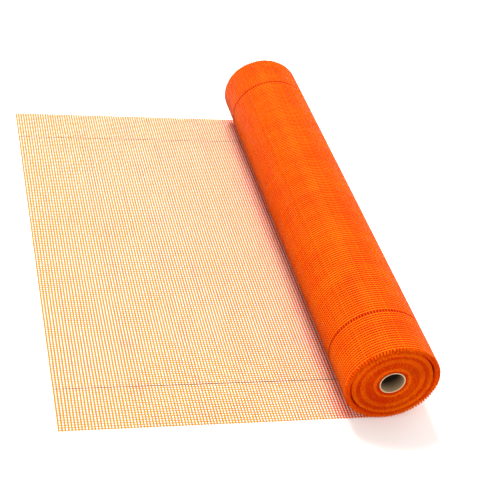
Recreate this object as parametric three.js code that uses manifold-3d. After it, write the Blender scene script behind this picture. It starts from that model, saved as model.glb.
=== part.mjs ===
// A roll of coated glass-fibre mesh for facades, lying on its side with the end of the web unrolled.
// Millimetres, +Z up. The roll's axis runs along Y, and the unrolled tail lies on z = 0 towards -X.
// The origin is on the floor, under the middle of the whole outline.
import * as THREE from "three";
import { mergeVertices } from "three/addons/utils/BufferGeometryUtils.js";
import Module from "manifold-3d";

// The web: its width, its thickness over the knots, and the length that lies unrolled,
// from the line where it leaves the roll to its cut end.
const WEB_WIDTH = 1000;
const WEB_THICKNESS = 1;
const TAIL_LENGTH = 579;

// On the tail a plain grid stands for the fine mesh, and is as open as the mesh is.
const OPENINGS_ACROSS = 12;
const OPENINGS_ALONG = 7;
const GRID_BAR = 22;

// The cardboard tube that the web is wound on, how much shorter it is than the web at each end,
// and the room left around it.
const CORE_BORE_RADIUS = 22;
const CORE_WALL = 2.1;
const CORE_SETBACK = 1;
const CORE_CLEARANCE = 0.3;

// Wound turns lie closer than the knots are thick, because knots sink into the openings of the turn below.
const TURN_PITCH = 0.4;

// The packed turns, from the tube outwards. The bands of turns didn't wind quite true,
// so each stands back from the edge of the web by its own setback at both ends.
const PACKED_BANDS = [
  { turns: 11, setback: 4 },
  { turns: 15, setback: 1.4 },
  { turns: 36, setback: 2.6 },
  { turns: 22, setback: 1.2 },
  { turns: 17, setback: 2 },
  { turns: 19, setback: 0.8 },
];

// The last turns are wound loosely, with an open ring between them and the packed ones.
const LOOSE_GAP = 2.6;
const LOOSE_GAP_DEPTH = 14;
const LOOSE_TURNS = 23;

// How many flat sides stand for a round.
const ROUND_SIDES = 72;

const CORE_OUTER_RADIUS = CORE_BORE_RADIUS + CORE_WALL;
const CORE_LENGTH = WEB_WIDTH - 2 * CORE_SETBACK;
const WOUND_BORE_RADIUS = CORE_OUTER_RADIUS + CORE_CLEARANCE;

const webMaterial = new THREE.MeshStandardMaterial({ color: 0xf26410, roughness: 0.45, metalness: 0 });
const coreMaterial = new THREE.MeshStandardMaterial({ color: 0xb98a58, roughness: 0.9, metalness: 0 });

// The rings that show on the roll's ends, from the tube outwards: inner and outer radius, and setback.
function endRings() {
  const rings = [];
  let inner = WOUND_BORE_RADIUS;
  const addRing = (width, setback) => {
    rings.push({ inner, outer: inner + width, setback });
    inner += width;
  };
  for (const band of PACKED_BANDS) addRing(band.turns * TURN_PITCH, band.setback);
  addRing(LOOSE_GAP, LOOSE_GAP_DEPTH);
  addRing(LOOSE_TURNS * TURN_PITCH, 0);
  return rings;
}

// A closed outline of radius and place along the axis, turned about Y.
// Half a side's turn at the start lays a flat side, not a corner, at the bottom.
function turned(outline) {
  return new THREE.LatheGeometry([...outline, outline[0]], ROUND_SIDES, Math.PI / ROUND_SIDES);
}

// How far a flat side lies from the axis, on a round whose corners lie at the radius.
function flatRadius(radius) {
  return radius * Math.cos(Math.PI / ROUND_SIDES);
}

// The wound turns as one solid with its bore, with the rings stepped into both ends.
function woundTurns(rings) {
  const nearEnd = rings.flatMap(({ inner, outer, setback }) => [
    new THREE.Vector2(inner, setback - WEB_WIDTH / 2),
    new THREE.Vector2(outer, setback - WEB_WIDTH / 2),
  ]);
  const farEnd = nearEnd.map((point) => new THREE.Vector2(point.x, -point.y)).reverse();
  return turned([...nearEnd, ...farEnd]);
}

// Where the openings start along a length that they share with the bars between them, and how long each is.
function openingRow(length, count) {
  const size = (length - (count + 1) * GRID_BAR) / count;
  return { size, starts: Array.from({ length: count }, (_, index) => GRID_BAR + index * (size + GRID_BAR)) };
}

// The unrolled tail: flat on the floor, from its cut end to the roll's lowest line.
function tail(axisHeight) {
  return new THREE.BoxGeometry(TAIL_LENGTH, WEB_WIDTH, WEB_THICKNESS)
    .translate(-TAIL_LENGTH / 2, 0, WEB_THICKNESS / 2 - axisHeight);
}

// What is cut out of the tail, as blocks that run past both its faces.
function tailOpenings(axisHeight) {
  const along = openingRow(TAIL_LENGTH, OPENINGS_ALONG);
  const across = openingRow(WEB_WIDTH, OPENINGS_ACROSS);
  return along.starts.flatMap((x) => across.starts.map((y) =>
    new THREE.BoxGeometry(along.size, across.size, 3 * WEB_THICKNESS).translate(
      x + along.size / 2 - TAIL_LENGTH,
      y + across.size / 2 - WEB_WIDTH / 2,
      WEB_THICKNESS / 2 - axisHeight,
    )));
}

function coreTube() {
  return turned([
    new THREE.Vector2(CORE_BORE_RADIUS, -CORE_LENGTH / 2),
    new THREE.Vector2(CORE_OUTER_RADIUS, -CORE_LENGTH / 2),
    new THREE.Vector2(CORE_OUTER_RADIUS, CORE_LENGTH / 2),
    new THREE.Vector2(CORE_BORE_RADIUS, CORE_LENGTH / 2),
  ]);
}

// Joins closed geometries into one, less the closed geometries that are cut out of it.
async function joined(geometries, cuts) {
  const wasm = await Module();
  wasm.setup();
  const solid = (geometry) => {
    const bare = geometry.clone();
    bare.deleteAttribute("normal");
    bare.deleteAttribute("uv");
    const merged = mergeVertices(bare);
    return new wasm.Manifold(new wasm.Mesh({
      numProp: 3,
      vertProperties: new Float32Array(merged.attributes.position.array),
      triVerts: new Uint32Array(merged.index.array),
    }));
  };
  const union = (parts) => parts.map(solid).reduce((whole, one) => whole.add(one));
  const mesh = union(geometries).subtract(union(cuts)).getMesh();
  const geometry = new THREE.BufferGeometry();
  geometry.setAttribute("position", new THREE.BufferAttribute(mesh.vertProperties, 3));
  geometry.setIndex(new THREE.BufferAttribute(mesh.triVerts, 1));
  geometry.computeVertexNormals();
  return geometry;
}

function part(name, geometry, material) {
  const mesh = new THREE.Mesh(geometry, material);
  mesh.name = name;
  return mesh;
}

const rings = endRings();
const rollReach = flatRadius(rings.at(-1).outer);

// The roll rests on its lowest flat side, and the whole outline is centred on the origin.
const roll = new THREE.Group();
roll.position.set((TAIL_LENGTH - rollReach) / 2, 0, rollReach);
const web = await joined([woundTurns(rings), tail(rollReach)], tailOpenings(rollReach));
roll.add(part("mesh_web", web, webMaterial));
roll.add(part("core_tube", coreTube(), coreMaterial));

const group = new THREE.Group();
group.add(roll);

export default group;
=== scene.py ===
"""A roll of coated glass-fibre mesh on its side, with the end of its web unrolled on the floor.

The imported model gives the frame, in metres: the roll's axis runs along Y, and the unrolled tail lies
towards -X. Sizes in the classes are millimetres, and places become metres where a mesh is made.
"""

import logging
import math
from dataclasses import astuple, dataclass
from enum import Enum

import bpy
import numpy as np
from bpy.types import Material, Mesh, NodeSocket, NodeTree, Object
from mathutils import Matrix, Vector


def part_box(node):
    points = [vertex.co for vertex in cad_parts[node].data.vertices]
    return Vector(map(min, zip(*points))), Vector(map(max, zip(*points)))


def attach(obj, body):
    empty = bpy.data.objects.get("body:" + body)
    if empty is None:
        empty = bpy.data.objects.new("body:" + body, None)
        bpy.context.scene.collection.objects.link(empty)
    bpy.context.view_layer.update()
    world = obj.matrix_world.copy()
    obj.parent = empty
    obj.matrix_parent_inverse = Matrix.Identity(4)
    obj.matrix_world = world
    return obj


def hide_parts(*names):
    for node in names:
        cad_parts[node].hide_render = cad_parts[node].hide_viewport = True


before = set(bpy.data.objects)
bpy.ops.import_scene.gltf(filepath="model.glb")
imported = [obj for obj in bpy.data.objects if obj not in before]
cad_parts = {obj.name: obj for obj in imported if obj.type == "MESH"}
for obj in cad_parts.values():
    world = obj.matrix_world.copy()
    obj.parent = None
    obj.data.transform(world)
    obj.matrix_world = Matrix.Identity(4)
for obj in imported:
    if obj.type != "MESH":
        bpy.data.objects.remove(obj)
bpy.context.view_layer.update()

log = logging.getLogger("mesh_roll")

Stations = dict[str, np.ndarray]
Triple = tuple[float, float, float]
Trees = tuple[NodeTree, NodeTree]

MM = 0.001
SEED = 11
ALONG_X = (1.0, 0.0, 0.0)
ALONG_Y = (0.0, 1.0, 0.0)


class End(Enum):
    """The two ends of the roll, by the way that each looks along Y."""

    NEAR = -1
    FAR = 1


class Warps(Enum):
    """Which of the yarns that run along the web a tree keeps."""

    PLAIN = False
    MARKERS = True


# Sizes of the web and of the roll


@dataclass(frozen=True)
class Web:
    """The woven web, laid flat.

    Wefts run across the web, along the roll. Warps run along the web and hold each weft in a knot.
    """

    width: float = 1000.0
    thickness: float = 1.0
    weft_pitch: float = 5.556
    weft_width: float = 2.85
    weft_thickness: float = 0.46
    warp_count: int = 176
    first_warp: float = 3.0
    warp_width: float = 1.45
    warp_thickness: float = 0.36
    marker_warps: tuple[int, int] = (17, 158)
    marker_thickness: float = 0.8
    knot_length: float = 2.7
    knot_width: float = 1.35
    knot_thickness: float = 0.98

    @property
    def warp_pitch(self) -> float:
        """Distance between neighbouring warps."""
        return (self.width - 2 * self.first_warp) / (self.warp_count - 1)


@dataclass(frozen=True)
class Ring:
    """One band of wound turns, how far its edge stands back at both ends, and its tone: painted light and
    shade, darker the further the band stands back.
    """

    inner: float
    outer: float
    setback: float
    tone: float = 0.0


# Each ring's last number is painted light and shade: the further a band stands back, the darker it is
# painted, and the deep open ring is painted darkest.
RINGS = (
    Ring(24.4, 28.8, 3.2, -0.5),
    Ring(28.8, 34.8, 1.4, 0.3),
    Ring(34.8, 49.2, 2.6, -0.2),
    Ring(49.2, 58.0, 1.2, 0.15),
    Ring(58.0, 64.8, 2.0, -0.25),
    Ring(64.8, 72.4, 0.8, 0.25),
    Ring(72.4, 75.0, 14.0, -0.8),
    Ring(75.0, 84.2, 0.0, 0.0),
)

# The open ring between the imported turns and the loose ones, whose turns are set back as the loose ones are
OPEN_RING = 6


@dataclass(frozen=True)
class Roll:
    """The wound roll, which has sagged a little, so each turn is wider than high and leans over."""

    axis_x: float
    axis_z: float
    radius: float = 84.2
    half_width: float = 88.9
    lean: float = math.radians(3.4)
    turn_pitch: float = 0.4
    loose_turns: float = 23.0
    gap: float = 2.6
    gap_turns: float = 0.25
    inner_radius: float = 24.6

    def place(self, radius: np.ndarray, angle: np.ndarray) -> tuple[np.ndarray, np.ndarray]:
        """Find where a point of a turn lies across the roll.

        Args:
            radius: the turn's distance from the axis, straight above or below it.
            angle: from +X towards +Z, in radians.

        Returns:
            The X and Z places.
        """
        widening = 1 + (self.half_width / self.radius - 1) * (radius / self.radius) ** 2
        across = radius * widening * np.cos(angle)
        up = radius * np.sin(angle)
        x = self.axis_x + across * math.cos(self.lean) - up * math.sin(self.lean)
        z = self.axis_z + across * math.sin(self.lean) + up * math.cos(self.lean)
        return x, z

    def turn_radius(self, turns: np.ndarray, start: float) -> np.ndarray:
        """Radius of the web's middle after so many turns, counted from the outside in."""
        step = np.clip((turns - self.loose_turns) / self.gap_turns, 0, 1)
        return start - self.turn_pitch * turns - self.gap * step


class WoundPath:
    """The line that the web's middle follows, from its cut end along the floor and into the roll."""

    SAMPLES_PER_TURN = 180
    TAIL_SAMPLES = 400
    EASE_END = 40
    EASE_LENGTH = 160

    def __init__(self, web: Web, roll: Roll, free_end: float) -> None:
        """Walk the whole web once.

        Args:
            web: the web's sizes.
            roll: the roll's sizes and place.
            free_end: X of the cut end of the tail.
        """
        self.web = web
        self.roll = roll
        self.free_end = free_end
        outermost = roll.radius - web.thickness / 2
        all_turns = (outermost - roll.gap - roll.inner_radius) / roll.turn_pitch
        turns = np.linspace(0, all_turns, int(all_turns * self.SAMPLES_PER_TURN))
        radius = roll.turn_radius(turns, outermost)
        x, z = roll.place(radius, 2 * np.pi * turns - np.pi / 2 - roll.lean)
        self.leave_x = float(x[0])
        lift = web.thickness / 2 - float(z[: self.SAMPLES_PER_TURN].min())
        z = z + lift * np.clip(1 - turns, 0, 1)
        flat = np.linspace(free_end, self.leave_x, self.TAIL_SAMPLES)[:-1]
        self.x = np.concatenate([flat, x])
        self.z = np.concatenate([np.full(flat.size, web.thickness / 2), z])
        self.turns = np.concatenate([np.full(flat.size, -1.0), turns])
        self.radius = np.concatenate([np.full(flat.size, outermost), radius])
        self.length = np.concatenate([[0], np.cumsum(np.hypot(np.diff(self.x), np.diff(self.z)))])
        self.tail_length = self.leave_x - free_end

    def stations(self, first: float, last: float, step: float) -> Stations:
        """Sample the path at even steps along the web.

        Args:
            first: length along the web of the first station.
            last: length that no station passes.
            step: distance between stations.

        Returns:
            Arrays by name: length, x, z, lean about Y, radius, turns, and ease, which is 1 on the flat
            tail and 0 on the roll.
        """
        return self.at(np.arange(first, last, step))

    def at(self, length: np.ndarray) -> Stations:
        """Sample the path at given lengths of web, with the same arrays."""
        columns = {"x": self.x, "z": self.z, "radius": self.radius, "turns": self.turns}
        found = {name: np.interp(length, self.length, values) for name, values in columns.items()}
        ahead, behind = (
            [np.interp(length + step, self.length, values) for values in (self.x, self.z)] for step in (1, -1)
        )
        lean = np.arctan2(behind[1] - ahead[1], ahead[0] - behind[0])
        ease = np.clip((self.tail_length - self.EASE_END - length) / self.EASE_LENGTH, 0, 1)
        return found | {"length": length, "lean": lean, "ease": ease}

    def length_at_turn(self, turn: float) -> float:
        """Length of web from its cut end to a turn of the roll."""
        return float(np.interp(turn, self.turns, self.length))


# Node trees


class Graph:
    """A node tree in the making: a material's, a world's, a shader group's or a geometry tree."""

    def __init__(self, tree: NodeTree) -> None:
        """Keep the tree that the nodes go into."""
        self.tree = tree

    def ask(self, kind: str, *names: str, way: str = "INPUT") -> None:
        """Add named inputs to a group, or outputs, all of one kind of socket."""
        for name in names:
            self.tree.interface.new_socket(name, in_out=way, socket_type="NodeSocket" + kind)

    def node(self, kind: str, wires: dict | None = None, **settings: object) -> bpy.types.Node:
        """Add a node.

        Args:
            kind: the node's type.
            wires: for inputs by name or number, an output socket to join or a value to set.
            settings: properties of the node.

        Returns:
            The node.
        """
        made = self.tree.nodes.new(kind)
        for name, value in settings.items():
            setattr(made, name, value)
        for key, value in (wires or {}).items():
            self.wire(made.inputs[key], value)
        return made

    def wire(self, socket: NodeSocket, value: object) -> None:
        """Join an output socket to an input, or set the input's value."""
        if isinstance(value, NodeSocket):
            self.tree.links.new(value, socket)
        else:
            socket.default_value = value

    def maths(self, operation: str, *values: object) -> NodeSocket:
        """Add a Math node and give its output."""
        return self.node("ShaderNodeMath", dict(enumerate(values)), operation=operation).outputs[0]

    def vector(self, x: object = 0.0, y: object = 0.0, z: object = 0.0) -> NodeSocket:
        """Join three numbers to a vector."""
        return self.node("ShaderNodeCombineXYZ", {0: x, 1: y, 2: z}).outputs[0]

    def vector_maths(self, operation: str, *values: object, output: object = 0) -> NodeSocket:
        """Add a Vector Math node and give its first output, or the one that is named."""
        made = self.node("ShaderNodeVectorMath", dict(enumerate(values)), operation=operation)
        return made.outputs[output]

    def noise(self, where: object, scale: float, detail: float, output: str = "Fac") -> NodeSocket:
        """Add a Noise Texture node and give one of its outputs."""
        wires = {"Vector": where, "Scale": scale, "Detail": detail}
        return self.node("ShaderNodeTexNoise", wires).outputs[output]

    def ramp(
        self, value: NodeSocket, low: float = 0.0, high: float = 1.0, bottom: float = 0.0, top: float = 1.0,
        smooth: bool = False,
    ) -> NodeSocket:
        """Map a range of a value to another range, held at its ends.

        Args:
            value: the value's output socket.
            low: value that gives the bottom.
            high: value that gives the top.
            bottom: result at the low value.
            top: result at the high value.
            smooth: whether the result eases in and out.

        Returns:
            The result's output socket.
        """
        wires = {"Value": value, "From Min": low, "From Max": high, "To Min": bottom, "To Max": top}
        way = "SMOOTHSTEP" if smooth else "LINEAR"
        return self.node("ShaderNodeMapRange", wires, interpolation_type=way).outputs["Result"]

    def mixed(self, factor: NodeSocket, first: object, second: object) -> NodeSocket:
        """Mix two colours, each an output socket or red, green and blue, by a factor."""
        wires = {"Factor": factor}
        for name, colour in (("A", first), ("B", second)):
            wires[name] = colour if isinstance(colour, NodeSocket) else (*colour, 1)
        return self.node("ShaderNodeMix", wires, data_type="RGBA").outputs["Result"]


class Shading(Graph):
    """A material in the making, around its Principled shader."""

    def __init__(self, name: str) -> None:
        """Start the material."""
        self.material = bpy.data.materials.new(name)
        self.material.use_nodes = True
        super().__init__(self.material.node_tree)

    def object_place(self, **mapping: object) -> NodeSocket:
        """Give the Object coordinates, moved or scaled by the named inputs of a Mapping node."""
        place = self.node("ShaderNodeTexCoord").outputs["Object"]
        if mapping:
            place = self.node("ShaderNodeMapping", {"Vector": place} | mapping).outputs[0]
        return place

    def attribute(self, name: str) -> NodeSocket:
        """Read a number that is stored on the mesh."""
        return self.node("ShaderNodeAttribute", attribute_name=name).outputs["Fac"]

    def tone(self, group: NodeTree, grain: Triple) -> bpy.types.NodeOutputs:
        """Place the yarn tone group, with all its inputs joined.

        Args:
            group: the group.
            grain: scales of the filaments along X, Y and Z, per metre.

        Returns:
            The group's outputs, by name.
        """
        wires = {
            "Place": self.object_place(),
            "Filament Place": self.object_place(Scale=grain),
            "Yarn Shade": self.attribute("shade"),
            "Band": self.attribute("band"),
        }
        return self.node("ShaderNodeGroup", wires, node_tree=group).outputs

    def bump(self, height: NodeSocket, strength: float, painted_bore_shade: float) -> NodeSocket:
        """Give the normal that a height bends, with its depth in millimetres."""
        wires = {"Height": height, "Strength": strength, "Distance": painted_bore_shade * MM}
        return self.node("ShaderNodeBump", wires).outputs["Normal"]

    def dress(self, colour: object, roughness: object, gloss: float, **others: object) -> Material:
        """Set or join the shader's colour, roughness, gloss and other sockets, and give the material."""
        shader = self.tree.nodes["Principled BSDF"]
        named = {"Base Color": colour, "Roughness": roughness, "Specular IOR Level": gloss}
        for name, value in (named | others).items():
            self.wire(shader.inputs[name], value)
        return self.material


def yarn_tone_group() -> NodeTree:
    """Build the shader group that varies the coating along each yarn and from yarn to yarn, and adds the
    Band, which carries painted light and shade.

    Returns:
        A group with Place, Filament Place, Yarn Shade and Band in, and Tone, Coating and Filaments out.
    """
    group = Graph(bpy.data.node_groups.new("yarn_tone", "ShaderNodeTree"))
    group.ask("Vector", "Place", "Filament Place")
    group.ask("Float", "Yarn Shade", "Band")
    group.ask("Float", "Tone", "Coating", "Filaments", way="OUTPUT")
    given = group.node("NodeGroupInput").outputs
    patches = group.noise(given["Place"], scale=16.0, detail=3.0)
    blend = group.maths("MULTIPLY_ADD", given["Yarn Shade"], 0.45, patches)
    wires = {
        # Band adds painted light and shade: crease shade on the tail, and ring, lip, seam and last-warp tones
        # at the wound ends.
        "Tone": group.ramp(group.maths("ADD", blend, given["Band"]), low=0.35, high=1.05),
        "Coating": group.noise(given["Place"], scale=420.0, detail=2.0),
        "Filaments": group.noise(given["Filament Place"], scale=1.0, detail=2.0),
    }
    group.node("NodeGroupOutput", wires)
    return group.tree


# Finishes


@dataclass(frozen=True)
class YarnFinish:
    """Glossy coated glass yarn in one colour.

    The coating lets light through, so it looks paler and yellower where a single layer lies on a pale floor;
    that light is painted into the single layer's colour, painted light.
    """

    name: str
    light: Triple
    deep: Triple
    gloss_tint: Triple = (1.0, 0.5, 0.02)
    roughness: float = 0.42
    gloss: float = 0.035
    filament: Triple = (900.0, 900.0, 900.0)
    bump: float = 0.35
    bump_depth: float = 0.1
    smoothest: float = -0.06
    roughest: float = 0.1

    def build(self, tone_group: NodeTree) -> Material:
        """Build the material, whose tone group reads Object coordinates and the yarns' own attributes."""
        made = Shading(self.name)
        tone = made.tone(tone_group, self.filament)
        colour = made.mixed(tone["Tone"], self.deep, self.light)
        ends = [self.roughness + change for change in (self.smoothest, self.roughest)]
        roughness = made.ramp(tone["Coating"], bottom=ends[0], top=ends[1])
        normal = made.bump(tone["Filaments"], self.bump, self.bump_depth)
        others = {"Specular Tint": (*self.gloss_tint, 1), "Normal": normal}
        return made.dress(colour, roughness, self.gloss, **others)


@dataclass(frozen=True)
class PackedFinish:
    """The layers under the outer turns, seen through their openings as yarn over dark red gaps; their darker
    colours, darkest in the gaps, are painted shade of the deeper layers.
    """

    name: str = "packed_layers"
    # Both colours are painted shade: darker than the outer turn's yarn, and darkest in the gaps.
    yarn: Triple = (0.62, 0.030, 0.0005)
    gap: Triple = (0.42, 0.010, 0.0005)
    weft_share: float = 0.42
    warp_share: float = 0.26
    blur: float = 0.08
    grain: Triple = (160.0, 160.0, 160.0)
    roughness: float = 0.6
    gloss: float = 0.03
    bump: float = 0.6
    bump_depth: float = 0.4

    def build(self, tone_group: NodeTree) -> Material:
        """Build the material, whose cells follow the piece's own web map, one unit a cell."""
        made = Shading(self.name)
        web_map = made.node("ShaderNodeUVMap", uv_map="web").outputs["UV"]
        place = made.node("ShaderNodeSeparateXYZ", {0: web_map}).outputs
        bands = []
        for axis, share in (("X", self.weft_share), ("Y", self.warp_share)):
            wave = made.maths("PINGPONG", place[axis], 0.5)
            bands.append(made.ramp(wave, share / 2 + self.blur, share / 2 - self.blur, smooth=True))
        yarns = made.maths("MAXIMUM", *bands)
        yarn_share = made.maths("MULTIPLY", yarns, made.tone(tone_group, self.grain)["Tone"])
        colour = made.mixed(yarn_share, self.gap, self.yarn)
        normal = made.bump(yarns, self.bump, self.bump_depth)
        return made.dress(colour, self.roughness, self.gloss, Normal=normal)


@dataclass(frozen=True)
class CardboardFinish:
    """Spirally wound brown cardboard, with the seams of its strips and the plies on its cut ends; down the
    bore its lining is painted darker to near black, painted shade.
    """

    name: str = "wound_cardboard"
    pale: Triple = (0.55, 0.40, 0.25)
    brown: Triple = (0.33, 0.21, 0.12)
    # The bore's lining: its own colour at the mouth, and the near black it is painted towards deeper in,
    # painted shade.
    mouth: Triple = (0.42, 0.29, 0.17)
    deep: Triple = (0.035, 0.018, 0.008)
    outside: Triple = (0.30, 0.10, 0.02)
    bore: float = 22.3
    outer: float = 23.9
    half_length: float = 499.0
    mouth_depth: float = 26.0
    strip: float = 60.0
    ply: float = 0.42
    seam: float = 0.02
    ply_line: float = 0.3
    bore_edge: float = 0.3
    outer_edge: float = 0.2
    grain: Triple = (700.0, 160.0, 700.0)
    worn: tuple[float, float] = (0.15, 0.65)
    roughness: float = 0.88
    gloss: float = 0.15
    bump: float = 0.4
    bump_depth: float = 0.15

    def build(self, axis_x: float, axis_z: float) -> Material:
        """Build the material.

        Args:
            axis_x: X of the tube's axis, in millimetres.
            axis_z: Z of the tube's axis, in millimetres.

        Returns:
            The material, which reads Object coordinates centred on the tube's axis.
        """
        made = Shading(self.name)
        centred = made.object_place(Location=(-axis_x * MM, 0, -axis_z * MM))
        x, y, z = made.node("ShaderNodeSeparateXYZ", {0: centred}).outputs
        along = made.maths("MULTIPLY", y, 1 / (self.strip * MM))
        helix = made.maths("MULTIPLY_ADD", made.maths("ARCTAN2", z, x), 1 / (2 * math.pi), along)
        seams = made.ramp(made.maths("PINGPONG", helix, 0.5), high=self.seam)
        flat = made.vector_maths("MULTIPLY", centred, (1, 0, 1))
        radius = made.vector_maths("LENGTH", flat, output="Value")
        plies = made.maths("PINGPONG", radius, self.ply * MM)
        lines = made.maths("MULTIPLY", seams, made.ramp(plies, high=self.ply_line * self.ply * MM))
        fibre = made.noise(made.object_place(Scale=self.grain), scale=1.0, detail=5.0)
        mask = made.maths("MULTIPLY", lines, fibre)
        board = made.mixed(made.ramp(mask, *self.worn), self.brown, self.pale)
        # Painted shade down the bore: the lining goes from its mouth colour to near black within mouth_depth
        # of each end.
        deepest = self.half_length - self.mouth_depth
        painted_bore_shade = made.ramp(made.maths("ABSOLUTE", y), self.half_length * MM, deepest * MM)
        within = made.ramp(radius, (self.bore + self.bore_edge) * MM, self.bore * MM)
        lined = made.mixed(within, board, made.mixed(painted_bore_shade, self.mouth, self.deep))
        beyond = made.ramp(radius, (self.outer - self.outer_edge) * MM, self.outer * MM)
        colour = made.mixed(beyond, lined, self.outside)
        normal = made.bump(mask, self.bump, self.bump_depth)
        return made.dress(colour, self.roughness, self.gloss, Normal=normal)


@dataclass(frozen=True)
class FloorFinish:
    """Plain pale studio floor."""

    name: str = "studio_floor"
    colour: Triple = (0.93, 0.915, 0.90)
    roughness: float = 0.95

    def build(self) -> Material:
        """Build the matt floor material."""
        return Shading(self.name).dress((*self.colour, 1), self.roughness, 0.0)


# Geometry-node trees


class Tree(Graph):
    """A geometry-node tree in the making, with named inputs."""

    def __init__(self, name: str) -> None:
        """Start the tree with its geometry in and out, and the inputs that all the trees have."""
        super().__init__(bpy.data.node_groups.new(name, "GeometryNodeTree"))
        self.ask("Geometry", "Geometry")
        self.ask("Geometry", "Geometry", way="OUTPUT")
        self.ask("Float", "Width", "Thickness", "Wander", "Lift")
        self.ask("Int", "Seed")
        self.ask("Material", "Material")
        self.given = self.node("NodeGroupInput").outputs

    def __getitem__(self, name: str) -> NodeSocket:
        """One of the tree's inputs, by name."""
        return self.given[name]

    def scaled(self, vector: object, factor: object) -> NodeSocket:
        """Scale a vector."""
        wires = {0: vector, "Scale": factor}
        return self.node("ShaderNodeVectorMath", wires, operation="SCALE").outputs[0]

    def attribute(self, name: str) -> NodeSocket:
        """Read a number that is stored on the points."""
        wires = {"Name": name}
        return self.node("GeometryNodeInputNamedAttribute", wires, data_type="FLOAT").outputs["Attribute"]

    def random(self, low: float, high: float, seed: object) -> NodeSocket:
        """A random number for each point or instance."""
        wires = {2: low, 3: high, "Seed": seed}
        return self.node("FunctionNodeRandomValue", wires, data_type="FLOAT").outputs[1]

    def placed(self, points: object, instance: object, **wires: object) -> NodeSocket:
        """Put an instance on each point, with other inputs by name."""
        wires = {"Points": points, "Instance": instance} | wires
        return self.node("GeometryNodeInstanceOnPoints", wires).outputs[0]

    def yarn(self, curve: object, across: tuple, sides: object) -> NodeSocket:
        """Sweep a flat yarn along a curve, in the width and thickness asked for.

        Args:
            curve: the curve's output socket.
            across: the way that the yarn's width points.
            sides: number of sides round the yarn.

        Returns:
            The mesh's output socket.
        """
        turned = self.node("GeometryNodeSetCurveNormal", {"Curve": curve, "Normal": across}, mode="FREE")
        ring = self.node("GeometryNodeCurvePrimitiveCircle", {"Resolution": sides, "Radius": 0.5})
        size = self.vector(self["Width"], self["Thickness"], 1.0)
        profile = self.node("GeometryNodeTransform", {"Geometry": ring.outputs["Curve"], "Scale": size})
        wires = {"Curve": turned.outputs[0], "Profile Curve": profile.outputs[0], "Fill Caps": True}
        return self.node("GeometryNodeCurveToMesh", wires).outputs[0]

    def cut_yarn(self, curve: object, across: tuple) -> NodeSocket:
        """Cut a curve into the sections asked for, and sweep a yarn with the sides asked for along it."""
        cut = self.node("GeometryNodeResampleCurve", {"Curve": curve, "Count": self["Sections"]})
        return self.yarn(cut.outputs[0], across, self["Sides"])

    def finish(self, instances: object) -> NodeTree:
        """Shade, realize, let the yarns wander, and set the finish.

        Args:
            instances: the output socket of the instances.

        Returns:
            The finished tree.
        """
        shade = self.random(0.0, 1.0, self["Seed"])
        wires = {"Geometry": instances, "Name": "shade", "Value": shade}
        stored = self.node("GeometryNodeStoreNamedAttribute", wires, data_type="FLOAT", domain="INSTANCE")
        real = self.node("GeometryNodeRealizeInstances", {"Geometry": stored.outputs[0]})
        where = self.node("GeometryNodeInputPosition").outputs[0]
        ease = self.attribute("ease")
        noise = self.noise(where, scale=21.0, detail=2.0, output="Color")
        middle = self.vector_maths("SUBTRACT", noise, (0.5, 0.5, 0.5))
        flat = self.vector_maths("MULTIPLY", middle, (1.0, 0.6, 0.0))
        sideways = self.scaled(flat, self.maths("MULTIPLY", self["Wander"], ease))
        waves = self.noise(where, scale=6.5, detail=1.0)
        raised = self.maths("MAXIMUM", self.maths("SUBTRACT", waves, 0.42), 0.0)
        lift = self.maths("MULTIPLY", self.maths("MULTIPLY", raised, ease), self["Lift"])
        offset = self.vector_maths("ADD", sideways, self.vector(z=lift))
        moved = self.node("GeometryNodeSetPosition", {"Geometry": real.outputs[0], "Offset": offset})
        smooth = self.node("GeometryNodeSetShadeSmooth", {"Geometry": moved.outputs[0]})
        wires = {"Geometry": smooth.outputs[0], "Material": self["Material"]}
        dressed = self.node("GeometryNodeSetMaterial", wires)
        self.node("NodeGroupOutput", {0: dressed.outputs[0]})
        return self.tree


def weft_tree() -> NodeTree:
    """Build the tree that lays a weft across the web at each point of the path."""
    tree = Tree("wefts_on_path")
    tree.ask("Float", "Length", "Stray")
    tree.ask("Int", "Sections", "Sides")
    half = tree.maths("MULTIPLY", tree["Length"], 0.5)
    wires = {"Start": tree.vector(y=tree.maths("MULTIPLY", half, -1.0)), "End": tree.vector(y=half)}
    line = tree.node("GeometryNodeCurvePrimitiveLine", wires)
    yarn = tree.cut_yarn(line.outputs[0], ALONG_X)
    laid = tree.placed(tree["Geometry"], yarn, Rotation=tree.vector(y=tree.attribute("lean")))
    stray = tree.random(-1.0, 1.0, tree.maths("ADD", tree["Seed"], 5.0))
    ends = tree.random(-0.6, 0.6, tree.maths("ADD", tree["Seed"], 9.0))
    shift = tree.scaled(tree.vector(stray, ends, 0.0), tree["Stray"])
    moved = tree.node("GeometryNodeTranslateInstances", {"Instances": laid, "Translation": shift})
    return tree.finish(moved.outputs[0])


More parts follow.
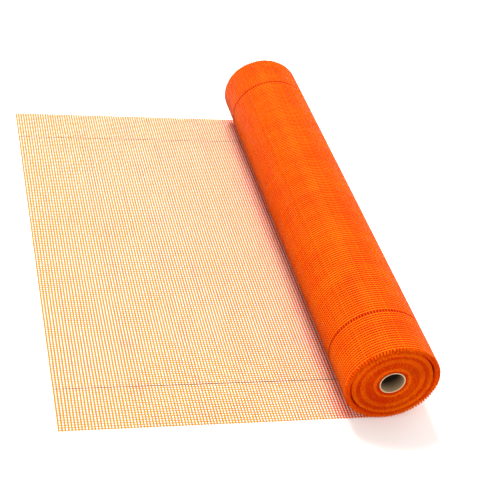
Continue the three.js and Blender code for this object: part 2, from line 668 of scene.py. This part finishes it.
def warp_tree() -> NodeTree:
    """Build the tree that lays warps side by side along the path, each with its knots over the wefts."""
    tree = Tree("warps_on_path")
    tree.ask("Float", "First", "Pitch", "Knot Length", "Knot Width", "Knot Thickness")
    tree.ask("Int", "Count", "Sections", "Sides", "Marker A", "Marker B")
    tree.ask("Bool", "Markers", "Knots")
    curve = tree.node("GeometryNodeMeshToCurve", {"Mesh": tree["Geometry"]})
    yarn = tree.cut_yarn(curve.outputs[0], ALONG_Y)
    start = tree.vector(y=tree["First"])
    step = tree.vector(y=tree["Pitch"])
    wires = {"Count": tree["Count"], "Start Location": start, "Offset": step}
    places = tree.node("GeometryNodeMeshLine", wires).outputs[0]
    index = tree.node("GeometryNodeInputIndex").outputs[0]
    hits = []
    for marker in ("Marker A", "Marker B"):
        wires = {2: index, 3: tree[marker]}
        hits.append(tree.node("FunctionNodeCompare", wires, data_type="INT", operation="EQUAL").outputs[0])
    is_marker = tree.node("FunctionNodeBooleanMath", dict(enumerate(hits)), operation="OR").outputs[0]
    wires = {0: is_marker, 1: tree["Markers"]}
    keep = tree.node("FunctionNodeBooleanMath", wires, operation="XNOR").outputs[0]
    yarns = tree.placed(places, yarn, Selection=keep)
    ball = tree.node("GeometryNodeMeshUVSphere", {"Segments": 4, "Rings": 2, "Radius": 0.5})
    size = tree.vector(tree["Knot Length"], tree["Knot Width"], tree["Knot Thickness"])
    knot = tree.node("GeometryNodeTransform", {"Geometry": ball.outputs[0], "Scale": size})
    row = tree.placed(places, knot.outputs[0], Selection=keep)
    lean = tree.vector(y=tree.attribute("lean"))
    knots = tree.placed(tree["Geometry"], row, Rotation=lean, Selection=tree["Knots"])
    both = tree.node("GeometryNodeJoinGeometry", {0: yarns})
    tree.wire(both.inputs[0], knots)
    return tree.finish(both.outputs[0])


def stub_tree() -> NodeTree:
    """Build the tree that stands a short cut weft end at each point of the wound edge."""
    tree = Tree("stubs_on_turns")
    line = tree.node("GeometryNodeCurvePrimitiveLine", {"Start": (0.0, 0.0, 0.0), "End": ALONG_Y})
    yarn = tree.yarn(line.outputs[0], ALONG_X, 3)
    bend = tree.random(-0.16, 0.16, tree.maths("ADD", tree["Seed"], 3.0))
    turn = tree.vector(0.0, tree.attribute("lean"), bend)
    size = tree.vector(1.0, tree.attribute("reach"), 1.0)
    return tree.finish(tree.placed(tree["Geometry"], yarn, Rotation=turn, Scale=size))


def grown(name: str, seed_mesh: Mesh, tree: NodeTree, inputs: dict) -> Object:
    """Run a tree on a mesh and keep the result as a plain mesh.

    Args:
        name: the finished piece's name.
        seed_mesh: the points or path that the tree works on.
        tree: the tree.
        inputs: values by the name of the tree's input.

    Returns:
        The finished piece, at the origin, with no modifier.
    """
    seed = put(name + "_seed", seed_mesh)
    modifier = seed.modifiers.new("grow", "NODES")
    modifier.node_group = tree
    for item in tree.interface.items_tree:
        if item.in_out == "INPUT" and item.name in inputs:
            modifier[item.identifier] = inputs[item.name]
    evaluated = seed.evaluated_get(bpy.context.evaluated_depsgraph_get())
    mesh = bpy.data.meshes.new_from_object(evaluated)
    mesh.name = name
    seed.modifiers.remove(modifier)
    bpy.data.objects.remove(seed)
    return put(name, mesh)


def put(name: str, data: bpy.types.ID) -> Object:
    """Link a mesh, light or camera as an object at the origin."""
    piece = bpy.data.objects.new(name, data)
    bpy.context.scene.collection.objects.link(piece)
    return piece


def path_mesh(name: str, stations: Stations, y: np.ndarray | float = 0.0) -> Mesh:
    """Make a polyline of stations, in metres, with their numbers as attributes.

    Args:
        name: the mesh's name.
        stations: arrays by name, x and z among them, in millimetres.
        y: place of the stations along the roll, in millimetres.

    Returns:
        The mesh, whose points are joined in order.
    """
    count = stations["x"].size
    points = np.column_stack([stations["x"], np.broadcast_to(y, count), stations["z"]]) * MM
    mesh = bpy.data.meshes.new(name)
    mesh.from_pydata(points.tolist(), [(i, i + 1) for i in range(count - 1)], [])
    for key in ("lean", "ease", "reach", "band"):
        if key in stations:
            values = mesh.attributes.new(key, "FLOAT", "POINT")
            values.data.foreach_set("value", stations[key].astype(np.float32))
    return mesh


def report(piece: Object) -> None:
    """Log a finished piece and its number of triangles."""
    triangles = sum(len(face.vertices) - 2 for face in piece.data.polygons)
    log.info("%s: %d triangles", piece.name, triangles)


def ride_web(piece: Object) -> None:
    """Make a piece of the web ride on the object, and log it."""
    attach(piece, "root")
    report(piece)


# Sub-assemblies


@dataclass
class Finishes:
    """The materials that the web's pieces share."""

    single: Material
    outer: Material
    outer_warp: Material
    under: Material
    ends: Material
    marker: Material
    marker_wound: Material
    packed: Material


def make_finishes() -> Finishes:
    """Build the web's materials around one shared tone group."""
    tone = yarn_tone_group()
    across = (900.0, 60.0, 900.0)
    finishes = (
        # Single layer on the floor: its paler, yellower colour is painted light, the light through the
        # coating from the floor.
        YarnFinish("single_layer_yarn", (0.56, 0.215, 0.003), (0.74, 0.090, 0.001), filament=across),
        YarnFinish("wound_yarn", (0.80, 0.072, 0.0005), (0.74, 0.038, 0.0005), filament=across),
        # Warps of the outer turn: lighter and yellower than its wefts, a painted highlight on top of their
        # real gloss.
        YarnFinish("wound_warp_yarn", (0.88, 0.25, 0.0005), (0.84, 0.13, 0.0005), filament=across, gloss=0.2),
        # Second turn: darker than the outer turn, painted shade under it.
        YarnFinish("under_yarn", (0.60, 0.028, 0.0005), (0.50, 0.018, 0.0005), gloss=0.03),
        # Wound ends: a lighter, yellower copy of the yarn, painted light on the end faces.
        YarnFinish("cut_end_yarn", (1.0, 0.20, 0.002), (0.78, 0.045, 0.001), roughness=0.55, gloss=0.03),
        YarnFinish("marker_yarn", (0.12, 0.03, 0.02), (0.08, 0.018, 0.014)),
        YarnFinish("wound_marker_yarn", (0.06, 0.012, 0.003), (0.035, 0.007, 0.002)),
        PackedFinish(),
    )
    return Finishes(*(finish.build(tone) for finish in finishes))


@dataclass
class WovenLength:
    """A length of the web with all its yarns, on the path."""

    name: str
    web: Web
    path: WoundPath
    first: float
    last: float
    weft_sections: int
    warp_sections: int
    weft_sides: int = 6
    warp_sides: int = 4
    wander: float = 0.0
    lift: float = 0.0
    stray: float = 0.16
    knots: bool = True
    warp_share: float = 1.0
    knot_share: float = 1.0
    weft_share: float = 1.0
    marker_share: float = 0.8
    paler: float = 0.0
    # The next two set painted shade by the roll: how far the tail's tone falls towards its deep colour, and
    # the distances from the roll, in millimetres, over which it falls. They stand for the crease's shade and
    # the orange light that the roll throws onto the tail.
    painted_crease_shade: float = 0.0
    crease_shade_reach: tuple[float, float] = (52.0, 104.0)

    def inputs(self, material: Material) -> dict:
        """Values that both trees take."""
        return {"Wander": self.wander * MM, "Lift": self.lift * MM, "Seed": SEED, "Material": material}

    def wefts(self, stations: Stations, tree: NodeTree, finish: Material) -> Object:
        """Lay the wefts."""
        web = self.web
        inputs = self.inputs(finish) | {
            "Length": (web.width - 1.0) * MM,
            "Width": web.weft_width * self.weft_share * MM,
            "Thickness": web.weft_thickness * MM,
            "Stray": self.stray * MM,
            "Sections": self.weft_sections,
            "Sides": self.weft_sides,
        }
        return grown(self.name + "_wefts", path_mesh("path", stations), tree, inputs)

    def warps(self, stations: Stations, tree: NodeTree, finish: Material, kept: Warps) -> Object:
        """Lay the plain warps or the two markers."""
        web = self.web
        if kept is Warps.MARKERS:
            part, thickness = "_markers", web.marker_thickness
            share, knot_share = self.marker_share, self.marker_share
        else:
            part, thickness = "_warps", web.warp_thickness
            share, knot_share = self.warp_share, self.knot_share
        inputs = self.inputs(finish) | {
            "First": (web.first_warp - web.width / 2) * MM,
            "Pitch": web.warp_pitch * MM,
            "Count": web.warp_count,
            "Width": web.warp_width * share * MM,
            "Thickness": thickness * MM,
            "Knot Length": web.knot_length * MM,
            "Knot Width": web.knot_width * knot_share * MM,
            "Knot Thickness": web.knot_thickness * MM,
            "Sections": self.warp_sections,
            "Sides": self.warp_sides,
            "Marker A": web.marker_warps[0],
            "Marker B": web.marker_warps[1],
            "Markers": kept.value,
            "Knots": self.knots,
        }
        return grown(self.name + part, path_mesh("path", stations), tree, inputs)

    def build(
        self, trees: Trees, finish: Material, warp_finish: Material, marker_finish: Material
    ) -> list[Object]:
        """Make this length's wefts, warps and markers.

        Args:
            trees: the weft tree and the warp tree.
            finish: material of the wefts.
            warp_finish: material of the warps.
            marker_finish: material of the two markers.

        Returns:
            The three pieces, riding on the object.
        """
        stations = self.path.stations(self.first, self.last, self.web.weft_pitch)
        # Painted shade and bounce light: near the roll the tail's tone is pushed towards its deep, redder
        # colour.
        from_roll = self.path.tail_length - stations["length"]
        near_roll = np.clip((self.crease_shade_reach[1] - from_roll) / (self.crease_shade_reach[1] - self.crease_shade_reach[0]), 0, 1)
        stations["band"] = self.paler - self.painted_crease_shade * near_roll
        pieces = [
            self.wefts(stations, trees[0], finish),
            self.warps(stations, trees[1], warp_finish, Warps.PLAIN),
            self.warps(stations, trees[1], marker_finish, Warps.MARKERS),
        ]
        for piece in pieces:
            ride_web(piece)
        return pieces


@dataclass
class WoundEnds:
    """The wound edge of the web at one end of the roll: its last warp, turn on turn, and cut weft ends.

    Neighbouring turns nest, so the weft ends of a band stand behind one another in rows of teeth.
    """

    web: Web
    path: WoundPath
    end: End
    first_turn: float = 0.98
    last_warp_width: float = 1.5
    last_warp_thickness: float = 0.4
    stub_width: float = 2.7
    stub_thickness: float = 0.42
    stub_root: float = 0.5
    stub_proud: float = 2.2
    stub_ragged: float = 0.9
    wobble: float = 0.35
    lip: float = 1.2
    lip_proud: float = 0.5
    row_drift: float = 0.02
    row_jitter: float = 0.05
    reach_out: float = 0.2
    # Painted light on each band's lip, and painted shade in its seam.
    painted_lip_light: float = 0.3
    painted_seam_shade: float = 0.7
    # Painted shade on the last warp, which lies behind the weft ends.
    painted_edge_shade: float = 0.6
    edge_step: float = 7.5

    def place_edge(self, stations: Stations) -> np.ndarray:
        """Setback of the web's edge at each station, by its band, with a slow wobble; stores the tone.

        Each band's tone is painted light and shade, darker the further it stands back.
        Its outer lip stands proud and is painted lighter, a painted highlight, and the seam at its inside
        is painted dark, painted shade.
        """
        radius = stations["radius"]
        inner, outer, setbacks, ring_light_and_shade = np.array([astuple(ring) for ring in RINGS]).T
        setbacks[OPEN_RING] = setbacks[OPEN_RING + 1]
        index = np.clip(np.searchsorted(outer, radius + self.reach_out), 0, len(RINGS) - 1)
        on_lip = np.clip(1 - (outer[index] - radius) / self.lip, 0, 1)
        in_seam = np.clip(1 - (radius - inner[index]) / self.lip, 0, 1)
        stations["band"] = ring_light_and_shade[index] + self.painted_lip_light * on_lip - self.painted_seam_shade * in_seam
        random = np.random.default_rng(SEED + self.end.value)
        knots = np.arange(0, 150, 0.5)
        wobble = np.interp(stations["turns"], knots, random.uniform(-0.2, 1.0, knots.size))
        return setbacks[index] - self.lip_proud * on_lip + self.wobble * wobble

    @staticmethod
    def inputs(width: float, thickness: float, finish: Material) -> dict:
        """Values that both trees take."""
        return {"Width": width * MM, "Thickness": thickness * MM, "Seed": SEED, "Material": finish}

    def edge_yarn(self, tree: NodeTree, finish: Material) -> Object:
        """Wind the web's last warp through all the turns."""
        first = self.path.length_at_turn(self.first_turn)
        stations = self.path.stations(first, float(self.path.length[-1]), self.edge_step)
        inset = self.web.first_warp + self.place_edge(stations)
        # The last warp's tone is lowered: painted shade behind the weft ends.
        stations["band"] = stations["band"] - self.painted_edge_shade
        y = self.end.value * (self.web.width / 2 - inset)
        inputs = {"First": 0.0, "Pitch": 0.0, "Count": 1, "Sections": stations["x"].size, "Sides": 4}
        inputs |= {"Marker A": -1, "Marker B": -1, "Markers": False, "Knots": False}
        inputs |= self.inputs(self.last_warp_width, self.last_warp_thickness, finish)
        name = f"{self.end.name.lower()}_edge_yarn"
        return grown(name, path_mesh("edge", stations, y), tree, inputs)

    def tooth_turns(self, random: np.random.Generator) -> np.ndarray:
        """Turns, counted from the outside in, at which a weft end stands, in rows within each band."""
        path = self.path
        turns = []
        for ring in RINGS:
            inside = (path.radius >= ring.inner) & (path.radius < ring.outer)
            inside &= path.turns >= self.first_turn
            if not inside.any():
                continue
            first = math.ceil(path.turns[inside].min())
            last = math.floor(path.turns[inside].max())
            teeth = round(math.pi * (ring.inner + ring.outer) / self.web.weft_pitch)
            rows = np.arange(first, last)[:, None]
            phase = self.row_drift * rows * (1 + np.sin(rows))
            phase = phase + random.normal(0, self.row_jitter, (rows.size, teeth))
            turns.append((rows + (np.arange(teeth)[None, :] + phase) / teeth).ravel())
        return np.sort(np.concatenate(turns))

    def stubs(self, tree: NodeTree, finish: Material) -> Object:
        """Stand the cut weft ends along the wound edge."""
        random = np.random.default_rng(SEED + 40 + self.end.value)
        turns = self.tooth_turns(random)
        stations = self.path.at(np.interp(turns, self.path.turns, self.path.length))
        setback = self.place_edge(stations)
        root = self.web.first_warp + self.stub_root
        reach = root + self.stub_proud - random.uniform(0.0, self.stub_ragged, setback.size)
        y = self.end.value * (self.web.width / 2 - root - setback)
        stations["reach"] = self.end.value * reach * MM
        inputs = self.inputs(self.stub_width, self.stub_thickness, finish)
        name = f"{self.end.name.lower()}_weft_ends"
        piece = grown(name, path_mesh("stubs", stations, y), tree, inputs)
        if self.end is End.NEAR:
            piece.data.flip_normals()
        return piece

    def build(self, trees: Trees, finish: Material) -> None:
        """Make this end's two pieces from the warp tree and the stub tree."""
        ride_web(self.edge_yarn(trees[0], finish))
        ride_web(self.stubs(trees[1], finish))


@dataclass
class PackedTurns:
    """The turns under the outer ones, as one closed body with its bore and the rings in its ends."""

    web: Web
    roll: Roll
    outer_drop: float = 1.35
    face_drop: float = 3.9
    sides: int = 144

    def outline(self) -> list[tuple[float, float]]:
        """The near half of the outline, as radius and distance from the roll's middle."""
        near = []
        for ring in RINGS:
            outer = min(ring.outer, self.roll.radius - self.outer_drop)
            half = self.web.width / 2 - self.face_drop - ring.setback
            near.extend([(ring.inner, half), (outer, half)])
        return near

    def build(self, finish: Material) -> Object:
        """Turn the outline about the roll's axis.

        Args:
            finish: the layers' material.

        Returns:
            The piece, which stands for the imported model's web.
        """
        near = self.outline()
        ring = [(r, -half) for r, half in near] + [(r, half) for r, half in reversed(near)]
        angles = np.arange(self.sides) / self.sides * 2 * np.pi
        points = []
        for radius, y in ring:
            x, z = self.roll.place(np.full(angles.size, radius), angles)
            points.extend(np.column_stack([x, np.full(angles.size, y), z]) * MM)
        count = len(ring)
        faces = []
        cells = []
        for k in range(count):
            following = (k + 1) % count
            for i in range(self.sides):
                corners = ((i, k), (i, following), (i + 1, following), (i + 1, k))
                faces.append(tuple(row * self.sides + place % self.sides for place, row in corners))
                for place, row in corners:
                    radius, y = ring[row]
                    around = place / self.sides * 2 * np.pi * self.roll.radius / self.web.weft_pitch
                    cells.append((around, (y + radius) / self.web.warp_pitch))
        mesh = bpy.data.meshes.new("packed_turns")
        mesh.from_pydata([tuple(point) for point in points], [], faces)
        layer = mesh.uv_layers.new(name="web")
        layer.data.foreach_set("uv", np.array(cells, dtype=np.float32).ravel())
        mesh.materials.append(finish)
        piece = put("packed_turns", mesh)
        ride_web(piece)
        return piece


class Studio:
    """The floor, the lights, the sky and the camera.

    Glossy rays see the sky dimmed, as dark flags round a set do, so the coating keeps its own colour.
    """

    sky_strength = 1.0
    sky_in_gloss = 0.15
    bright_way = (0.78, 0.15, 0.61)
    sky_dim = (0.36, 0.345, 0.335)
    sky_bright = (1.12, 1.11, 1.09)
    sky_spread = 0.7
    light_colour = (1.0, 0.98, 0.95)
    floor_reach = 9.0
    floor_height = -0.0002
    azimuth = math.radians(-20.05)
    elevation = math.radians(36.03)
    roll_angle = math.radians(12.11)
    camera_place = (-568.5, -1817.1, 1422.4)
    focal_pixels = 1148.3
    image_pixels = 480
    sensor = 36.0

    def __init__(self, roll: Roll) -> None:
        """Keep the roll's place, which the lights aim at."""
        self.roll = roll

    def floor(self) -> None:
        """Lay the floor just under the web."""
        mesh = bpy.data.meshes.new("studio_floor")
        ways = ((-1, -1), (1, -1), (1, 1), (-1, 1))
        corners = [(x * self.floor_reach, y * self.floor_reach, self.floor_height) for x, y in ways]
        mesh.from_pydata(corners, [], [(0, 1, 2, 3)])
        mesh.materials.append(FloorFinish().build())
        put("studio_floor", mesh)

    def sky(self) -> None:
        """Light the scene evenly from all round."""
        world = bpy.data.worlds.new("studio_sky")
        world.use_nodes = True
        sky = Graph(world.node_tree)
        background = sky.tree.nodes["Background"]
        way = sky.node("ShaderNodeTexCoord").outputs["Generated"]
        facing = sky.vector_maths("DOT_PRODUCT", way, self.bright_way, output="Value")
        behind = sky.ramp(facing, -self.sky_spread, self.sky_spread, smooth=True)
        glossy = sky.node("ShaderNodeLightPath").outputs["Is Glossy Ray"]
        strength = sky.ramp(glossy, bottom=self.sky_strength, top=self.sky_in_gloss)
        sky.wire(background.inputs["Color"], sky.mixed(behind, self.sky_dim, self.sky_bright))
        sky.wire(background.inputs["Strength"], strength)
        bpy.context.scene.world = world

    def softbox(self, name: str, place: Triple, aim: Triple, size: tuple[float, float], power: float) -> None:
        """Hang an area light.

        Args:
            name: the light's name.
            place: its place, in metres.
            aim: the point that it faces.
            size: its width and height.
            power: its power in watts.
        """
        light = bpy.data.lights.new(name, "AREA")
        light.shape = "RECTANGLE"
        light.size, light.size_y = size
        light.energy = power
        light.color = self.light_colour
        put(name, light).matrix_world = looking(place, aim)

    def camera(self) -> None:
        """Set the camera at the photograph's viewing angle."""
        back = np.array([
            math.sin(self.azimuth) * math.cos(self.elevation),
            -math.cos(self.azimuth) * math.cos(self.elevation),
            math.sin(self.elevation),
        ])
        level = np.array([math.cos(self.azimuth), math.sin(self.azimuth), 0.0])
        upright = np.cross(back, level)
        right = math.cos(self.roll_angle) * level + math.sin(self.roll_angle) * upright
        above = -math.sin(self.roll_angle) * level + math.cos(self.roll_angle) * upright
        lens = bpy.data.cameras.new("camera")
        lens.sensor_width = self.sensor
        lens.lens = self.focal_pixels / self.image_pixels * self.sensor
        lens.clip_end = 60.0
        camera = put("camera", lens)
        camera.matrix_world = standing(right, above, back, np.array(self.camera_place) * MM)
        bpy.context.scene.camera = camera

    def build(self) -> None:
        """Set up the whole studio."""
        self.camera()
        self.floor()
        self.sky()
        centre = (self.roll.axis_x * MM, 0.0, self.roll.axis_z * MM)
        near_end = (self.roll.axis_x * MM, -0.5, self.roll.axis_z * MM)
        self.softbox("key", (-0.9, 2.9, 5.4), centre, (2.4, 2.0), 560.0)
        self.softbox("fill", (-0.1, -3.6, 1.2), near_end, (1.4, 1.0), 60.0)
        view = bpy.context.scene.view_settings
        view.view_transform = "Standard"
        view.look = "None"


def standing(right: np.ndarray, above: np.ndarray, back: np.ndarray, place: np.ndarray) -> Matrix:
    """Matrix of a camera or light from the ways of its own axes and its place."""
    matrix = np.eye(4)
    matrix[:3, :3] = np.column_stack([right, above, back])
    matrix[:3, 3] = place
    return Matrix(matrix.tolist())


def looking(place: Triple, aim: Triple) -> Matrix:
    """Matrix of a light at a place that faces a point."""
    back = np.array(place) - np.array(aim)
    back /= np.linalg.norm(back)
    right = np.cross([0.0, 0.0, 1.0], back)
    right /= np.linalg.norm(right)
    return standing(right, np.cross(back, right), back, place)


def dress_core(roll: Roll) -> None:
    """Give the tube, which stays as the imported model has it, its cardboard."""
    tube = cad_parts["core_tube"]
    tube.data.materials.clear()
    tube.data.materials.append(CardboardFinish().build(roll.axis_x, roll.axis_z))
    report(tube)


def main() -> None:
    """Build the roll, the tail and the studio, piece by piece."""
    logging.basicConfig(level=logging.INFO, format="%(name)s %(message)s")
    low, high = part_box("core_tube")
    web_low, web_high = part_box("mesh_web")
    web = Web()
    roll = Roll((low[0] + high[0]) / 2 / MM, (low[2] + high[2]) / 2 / MM)
    path = WoundPath(web, roll, web_low[0] / MM)
    Studio(roll).build()
    finishes = make_finishes()
    trees = (weft_tree(), warp_tree())
    inset = 2.5

    tail = WovenLength(
        "tail", web, path, inset, path.tail_length, 60, 28, wander=1.2, lift=0.5,
        marker_share=1.25, paler=0.4, painted_crease_shade=1.05,
    )
    wefts, warps, markers = tail.build(trees, finishes.single, finishes.single, finishes.marker)

    turn_ends = [path.length_at_turn(turn) for turn in (0, 1, 2)]
    start, second = (
        inset + math.ceil((end - inset) / web.weft_pitch) * web.weft_pitch for end in turn_ends[:2]
    )
    outer = WovenLength(
        "outer_turn", web, path, start, turn_ends[1] + 8, 40, 56,
        warp_sides=3, warp_share=1.85, knot_share=2.0, weft_share=0.9,
    )
    outer.build(trees, finishes.outer, finishes.outer_warp, finishes.marker_wound)
    under = WovenLength("under_turn", web, path, second, turn_ends[2], 8, 60, weft_sides=4, knots=False)
    under.build(trees, finishes.under, finishes.under, finishes.marker_wound)

    packed = PackedTurns(web, roll).build(finishes.packed)
    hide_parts("mesh_web")
    stubs = stub_tree()
    for end in End:
        WoundEnds(web, path, end).build((trees[1], stubs), finishes.ends)
    dress_core(roll)


if __name__ == "__main__":
    main()
